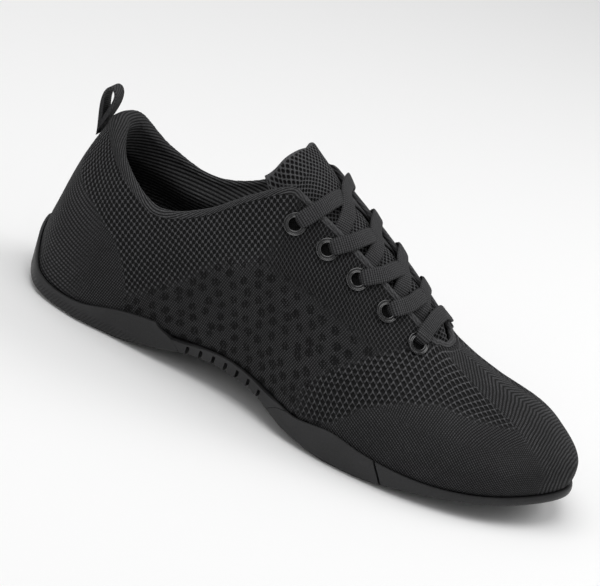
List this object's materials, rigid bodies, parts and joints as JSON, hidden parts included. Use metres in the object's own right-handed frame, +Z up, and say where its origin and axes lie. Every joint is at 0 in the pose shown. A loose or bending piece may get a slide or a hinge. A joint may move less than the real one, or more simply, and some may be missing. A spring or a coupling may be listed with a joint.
{
  "type": "cheerleading shoe",
  "caption": "Low-cut right cheerleading shoe with a seamless knit upper, laced throat, heel pull loop and a thin split rubber sole with a grooved arch bridge.",
  "frame": {"origin": "middle of the shoe's bounding box on the floor, under the sole", "axes": "+X from heel to toe, +Y to the wearer's left (the medial side of this right shoe), +Z up"},
  "size_m": [0.2548, 0.0936, 0.106],
  "materials": {
    "knit_upper": "matte black engineered knit",
    "tongue_mesh": "matte black open mesh",
    "insole_cloth": "matte black cloth over foam",
    "sole_rubber": "satin black rubber",
    "arch_rubber": "satin black grooved rubber",
    "eyelet_enamel": "gloss black enamel",
    "lace_cord": "matte black flat woven lace",
    "loop_tape": "black ribbed tape"
  },
  "bodies": {
    "root": {"upper": "knit_upper", "tongue": "tongue_mesh", "insole": "insole_cloth", "outsole_heel": "sole_rubber", "outsole_forefoot": "sole_rubber", "midsole_arch": "arch_rubber", "pull_loop": "loop_tape", "lace_bar": "lace_cord", "eyelet_lateral_1": "eyelet_enamel", "eyelet_lateral_2": "eyelet_enamel", "eyelet_lateral_3": "eyelet_enamel", "eyelet_lateral_4": "eyelet_enamel", "eyelet_lateral_5": "eyelet_enamel", "eyelet_medial_1": "eyelet_enamel", "eyelet_medial_2": "eyelet_enamel", "eyelet_medial_3": "eyelet_enamel", "eyelet_medial_4": "eyelet_enamel", "eyelet_medial_5": "eyelet_enamel", "lace_cross_1": "lace_cord", "lace_cross_2": "lace_cord", "lace_cross_3": "lace_cord", "lace_cross_4": "lace_cord"}
  },
  "joints": []
}
